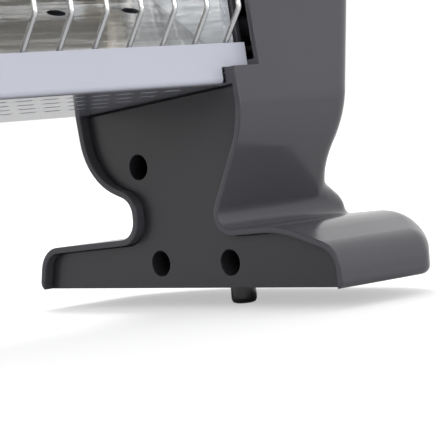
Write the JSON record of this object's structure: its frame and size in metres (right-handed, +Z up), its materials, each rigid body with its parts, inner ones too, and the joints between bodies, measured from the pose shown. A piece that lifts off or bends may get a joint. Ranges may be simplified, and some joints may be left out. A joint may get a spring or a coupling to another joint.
{
  "type": "quartz heater",
  "caption": "Free-standing radiant quartz heater: slotted sheet body between moulded cheeks on feet, wire guard, polished reflector, quartz tubes, rocker switches and tip-over plunger.",
  "frame": {"origin": "middle of the heater's width and depth, level with the tip of the hanging plunger", "axes": "+X to the right seen from the front, +Y to the back, +Z up"},
  "size_m": [0.3824, 0.129, 0.2386],
  "materials": {
    "body_paint": "smooth light silver stove enamel",
    "zinc_steel": "zinc plated",
    "quartz": "clear fused quartz",
    "ceramic": "unglazed white ceramic",
    "brass": "turned",
    "coil_wire": "oxidised resistance wire",
    "guard_chrome": "bright plated wire",
    "reflector_foil": "polished rolled sheet",
    "cheek_plastic": "satin moulded",
    "cover_plastic": "satin moulded",
    "dark_screw": "blackened",
    "plunger_plastic": "glossy moulded",
    "switch_plastic": "moulded",
    "rocker_plastic": "moulded",
    "bush_rubber": "soft moulded",
    "block_plastic": "moulded",
    "lead_sleeve": "woven heat-proof sleeve"
  },
  "bodies": {
    "heater": {"body_shell": "body_paint", "end_frame_right": "zinc_steel", "end_frame_left": "zinc_steel", "quartz_tube_lower": "quartz", "quartz_tube_upper": "quartz", "ceramic_cap_lower_right": "ceramic", "ceramic_cap_lower_left": "ceramic", "ceramic_cap_upper_right": "ceramic", "ceramic_cap_upper_left": "ceramic", "terminal_studs": "brass", "cap_rings": "zinc_steel", "heating_coil_lower": "coil_wire", "heating_coil_upper": "coil_wire", "guard_wires": "guard_chrome", "guard_rails": "guard_chrome", "guard_clips": "zinc_steel", "reflector": "reflector_foil", "reflector_end_right": "reflector_foil", "reflector_end_left": "reflector_foil", "right_cheek": "cheek_plastic", "left_cheek": "cheek_plastic", "right_foot_cover": "cover_plastic", "left_foot_cover": "cover_plastic", "right_foot_screws": "dark_screw", "left_foot_screws": "dark_screw", "right_frame_screws": "zinc_steel", "left_frame_screws": "zinc_steel", "tip_spring": "zinc_steel", "tip_switch": "switch_plastic", "switch_housing_lower": "switch_plastic", "switch_housing_upper": "switch_plastic", "cord_bush": "bush_rubber", "terminal_block": "block_plastic", "hand_grip": "cover_plastic", "leads": "lead_sleeve"},
    "plunger": {"tip_plunger": "plunger_plastic"},
    "lever": {"tip_switch_lever": "zinc_steel"},
    "rocker_low": {"rocker_lower": "rocker_plastic"},
    "rocker_high": {"rocker_upper": "rocker_plastic"}
  },
  "joints": [
    {"name": "plunger_slide", "type": "slide", "parent": "heater", "child": "plunger", "axis": [0, 0, 1], "range_m": [0, 0.0062], "stiffness_N_per_m": 150, "springref_m": -0.008, "deforming": ["tip_spring"]},
    {"name": "lever_hinge", "type": "hinge", "parent": "heater", "child": "lever", "pos_m": [0.168, -0.008, 0.04235], "axis": [0, 1, 0], "range_deg": [0, 17.5]},
    {"name": "rocker_low_hinge", "type": "hinge", "parent": "heater", "child": "rocker_low", "pos_m": [0.165, -0.02608, 0.1062], "axis": [1, 0, 0], "range_deg": [-20, 0]},
    {"name": "rocker_high_hinge", "type": "hinge", "parent": "heater", "child": "rocker_high", "pos_m": [0.165, -0.02293, 0.1362], "axis": [1, 0, 0], "range_deg": [-20, 0]}
  ],
  "couplings": [
    {"joint": "lever_hinge", "follows": "plunger_slide", "rad_per_m": 43.3}
  ]
}
